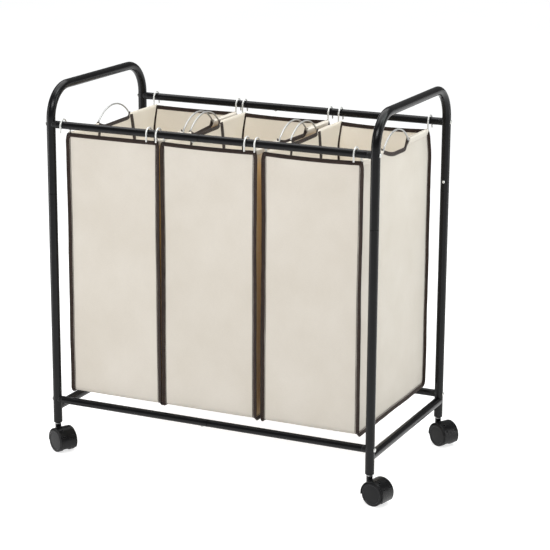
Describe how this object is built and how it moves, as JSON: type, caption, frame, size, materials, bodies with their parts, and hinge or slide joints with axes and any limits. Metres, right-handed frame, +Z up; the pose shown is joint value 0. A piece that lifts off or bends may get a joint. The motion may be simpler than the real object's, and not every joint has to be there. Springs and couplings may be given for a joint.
{
  "type": "laundry cart",
  "caption": "Rolling laundry sorter: black tube frame with push handles, lift-out cloth bags hung side by side on wire hangers, twin-wheel swivel casters.",
  "frame": {"origin": "on the floor, below the centre of the frame", "axes": "+Z up, +X along the cart's width, -Y the front"},
  "size_m": [0.831, 0.4734, 0.8001],
  "materials": {
    "tube": "satin black powder coat",
    "plug": "moulded black plastic",
    "screw": "zinc plated",
    "caster": "moulded black nylon",
    "wheel": "moulded black nylon",
    "stem": "zinc plated",
    "cloth": "cream plain-weave cloth",
    "binding": "dark brown woven tape",
    "wire": "galvanised wire"
  },
  "bodies": {
    "frame": {"handle_left": "tube", "handle_right": "tube", "side_rail_left": "tube", "side_rail_right": "tube", "post_front_left": "tube", "post_front_right": "tube", "post_rear_right": "tube", "post_rear_left": "tube", "top_rail_front_left": "tube", "top_rail_front_right": "tube", "top_rail_rear_left": "tube", "top_rail_rear_right": "tube", "bottom_rail_front_left": "tube", "bottom_rail_front_right": "tube", "bottom_rail_rear_left": "tube", "bottom_rail_rear_right": "tube", "rail_end_plugs": "plug", "rail_end_screws": "screw", "post_joint_screws": "screw", "rail_joint_screws": "screw", "caster_sockets": "plug"},
    "caster_front_left": {"caster_hood_front_left": "caster", "caster_stem_front_left": "stem", "caster_axle_front_left": "stem"},
    "wheel_a_front_left": {"wheel_a_front_left": "wheel"},
    "wheel_b_front_left": {"wheel_b_front_left": "wheel"},
    "caster_front_right": {"caster_hood_front_right": "caster", "caster_stem_front_right": "stem", "caster_axle_front_right": "stem"},
    "wheel_a_front_right": {"wheel_a_front_right": "wheel"},
    "wheel_b_front_right": {"wheel_b_front_right": "wheel"},
    "caster_rear_right": {"caster_hood_rear_right": "caster", "caster_stem_rear_right": "stem", "caster_axle_rear_right": "stem"},
    "wheel_a_rear_right": {"wheel_a_rear_right": "wheel"},
    "wheel_b_rear_right": {"wheel_b_rear_right": "wheel"},
    "caster_rear_left": {"caster_hood_rear_left": "caster", "caster_stem_rear_left": "stem", "caster_axle_rear_left": "stem"},
    "wheel_a_rear_left": {"wheel_a_rear_left": "wheel"},
    "wheel_b_rear_left": {"wheel_b_rear_left": "wheel"},
    "bag_1": {"bag_1_front_bottom_back": "cloth", "bag_1_side_left": "cloth", "bag_1_side_right": "cloth", "bag_1_binding": "binding", "bag_1_hanger_left": "wire", "bag_1_hanger_right": "wire"},
    "bag_2": {"bag_2_front_bottom_back": "cloth", "bag_2_side_left": "cloth", "bag_2_side_right": "cloth", "bag_2_binding": "binding", "bag_2_hanger_left": "wire", "bag_2_hanger_right": "wire"},
    "bag_3": {"bag_3_front_bottom_back": "cloth", "bag_3_side_left": "cloth", "bag_3_side_right": "cloth", "bag_3_binding": "binding", "bag_3_hanger_left": "wire", "bag_3_hanger_right": "wire"}
  },
  "joints": [
    {"name": "swivel_front_left", "type": "hinge", "parent": "frame", "child": "caster_front_left", "pos_m": [-0.36515, -0.1975, 0.061], "axis": [0, 0, 1], "continuous": true},
    {"name": "roll_a_front_left", "type": "hinge", "parent": "caster_front_left", "child": "wheel_a_front_left", "pos_m": [-0.34837, -0.20642, 0.025], "axis": [0.4695, 0.8829, 0], "continuous": true},
    {"name": "roll_b_front_left", "type": "hinge", "parent": "caster_front_left", "child": "wheel_b_front_left", "pos_m": [-0.34837, -0.20642, 0.025], "axis": [0.4695, 0.8829, 0], "continuous": true},
    {"name": "swivel_front_right", "type": "hinge", "parent": "frame", "child": "caster_front_right", "pos_m": [0.36515, -0.1975, 0.061], "axis": [0, 0, 1], "continuous": true},
    {"name": "roll_a_front_right", "type": "hinge", "parent": "caster_front_right", "child": "wheel_a_front_right", "pos_m": [0.38373, -0.20145, 0.025], "axis": [0.2079, 0.9781, 0], "continuous": true},
    {"name": "roll_b_front_right", "type": "hinge", "parent": "caster_front_right", "child": "wheel_b_front_right", "pos_m": [0.38373, -0.20145, 0.025], "axis": [0.2079, 0.9781, 0], "continuous": true},
    {"name": "swivel_rear_right", "type": "hinge", "parent": "frame", "child": "caster_rear_right", "pos_m": [0.36515, 0.1975, 0.061], "axis": [0, 0, 1], "continuous": true},
    {"name": "roll_a_rear_right", "type": "hinge", "parent": "caster_rear_right", "child": "wheel_a_rear_right", "pos_m": [0.38193, 0.18858, 0.025], "axis": [0.4695, 0.8829, 0], "continuous": true},
    {"name": "roll_b_rear_right", "type": "hinge", "parent": "caster_rear_right", "child": "wheel_b_rear_right", "pos_m": [0.38193, 0.18858, 0.025], "axis": [0.4695, 0.8829, 0], "continuous": true},
    {"name": "swivel_rear_left", "type": "hinge", "parent": "frame", "child": "caster_rear_left", "pos_m": [-0.36515, 0.1975, 0.061], "axis": [0, 0, 1], "continuous": true},
    {"name": "roll_a_rear_left", "type": "hinge", "parent": "caster_rear_left", "child": "wheel_a_rear_left", "pos_m": [-0.38193, 0.20642, 0.025], "axis": [-0.4695, -0.8829, 0], "continuous": true},
    {"name": "roll_b_rear_left", "type": "hinge", "parent": "caster_rear_left", "child": "wheel_b_rear_left", "pos_m": [-0.38193, 0.20642, 0.025], "axis": [-0.4695, -0.8829, 0], "continuous": true},
    {"name": "lift_bag_1", "type": "slide", "parent": "frame", "child": "bag_1", "axis": [0, 0, 1], "range_m": [0, 0.68]},
    {"name": "lift_bag_2", "type": "slide", "parent": "frame", "child": "bag_2", "axis": [0, 0, 1], "range_m": [0, 0.68]},
    {"name": "lift_bag_3", "type": "slide", "parent": "frame", "child": "bag_3", "axis": [0, 0, 1], "range_m": [0, 0.68]}
  ]
}
